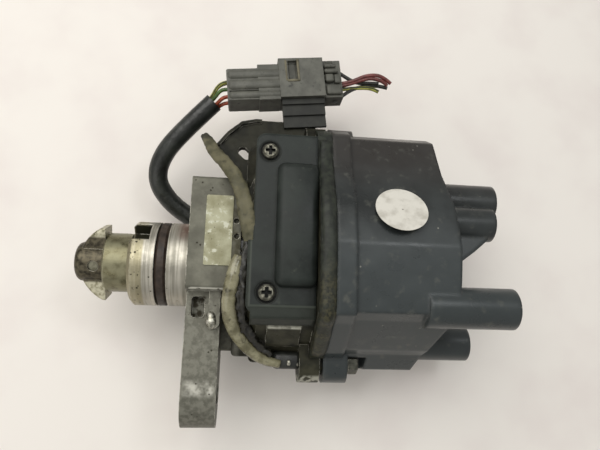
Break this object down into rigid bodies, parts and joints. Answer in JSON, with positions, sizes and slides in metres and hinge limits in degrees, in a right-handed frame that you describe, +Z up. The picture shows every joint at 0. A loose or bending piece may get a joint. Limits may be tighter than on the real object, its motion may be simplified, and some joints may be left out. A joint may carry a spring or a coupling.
{
  "type": "ignition distributor",
  "caption": "Ignition distributor lying on its side, with a cast housing, moulded cap with plug-lead towers, drive dog, clamping ear and a side connector.",
  "frame": {"origin": "centre of the mounting flange's face, on the drive shaft's axis", "axes": "+X along the drive shaft, from the engine towards the cap; +Z up as the distributor lies on its side, with the coil cover uppermost; +Y towards the connector"},
  "size_m": [0.1902, 0.1796, 0.0884],
  "materials": {
    "cast_aluminium": "as cast, dulled",
    "steel": "zinc plated, worn",
    "dark_steel": "oil stained",
    "bearing_steel": "ground",
    "bronze": "sintered, oiled",
    "brass": "plain",
    "copper": "enamelled wire",
    "cap_plastic": "moulded, dull",
    "cover_plastic": "moulded, fine grain",
    "connector_plastic": "dusty grey olive",
    "plug_plastic": "dusty dark grey",
    "rotor_plastic": "moulded phenolic",
    "rubber": "dull",
    "brown_rubber": "aged, oily",
    "aged_sealant": "yellowed, glossy",
    "sleeve_vinyl": "smooth vinyl",
    "carbon": "pressed carbon",
    "plate_metal": "plain, dulled",
    "paper": "plain, coated",
    "wire_insulation": "thin vinyl"
  },
  "bodies": {
    "root": {"housing_casting": "cast_aluminium", "spigot_o_ring": "brown_rubber", "front_bush": "bronze", "oil_seal": "rubber", "bearing_outer_ring": "bearing_steel", "bearing_balls": "bearing_steel", "bearing_retainer": "steel", "retainer_screws": "steel", "pickup_plate": "steel", "pickup_cores": "dark_steel", "pickup_coils": "copper", "igniter_module": "cover_plastic", "igniter_screws": "steel", "ignition_coil": "rotor_plastic", "coil_core": "dark_steel", "coil_cover": "cover_plastic", "cover_screws": "steel", "joint_seal": "aged_sealant", "distributor_cap": "cap_plastic", "cap_terminals": "brass", "brush_spring": "steel", "cap_bolts": "steel", "data_plate": "plate_metal", "round_sticker": "paper", "lead_connector": "connector_plastic", "connector_pins": "brass", "connector_clip": "dark_steel", "lead_sleeve": "sleeve_vinyl", "lead_wires": "wire_insulation", "lead_grommet": "rubber", "seal_strip_upper": "aged_sealant", "seal_strip_lower": "aged_sealant"},
    "shaft": {"drive_shaft": "steel", "drive_collar": "steel", "drive_dog": "dark_steel", "dog_pin": "steel", "bearing_inner_ring": "bearing_steel", "signal_rotor": "dark_steel", "cylinder_rotor": "dark_steel", "rotor_spacer": "steel", "rotor_arm": "rotor_plastic", "rotor_electrode": "brass"},
    "brush": {"carbon_brush": "carbon"},
    "plug": {"harness_plug": "plug_plastic", "harness_wires": "wire_insulation"}
  },
  "joints": [
    {"name": "shaft_spin", "type": "hinge", "parent": "root", "child": "shaft", "pos_m": [0, 0, 0], "axis": [1, 0, 0], "continuous": true},
    {"name": "brush_slide", "type": "slide", "parent": "root", "child": "brush", "axis": [1, 0, 0], "range_m": [0, 0.0015], "stiffness_N_per_m": 200, "springref_m": -0.002, "deforming": ["brush_spring"]},
    {"name": "plug_slide", "type": "slide", "parent": "root", "child": "plug", "axis": [0.9936, 0.1132, 0], "range_m": [0, 0.022]}
  ]
}
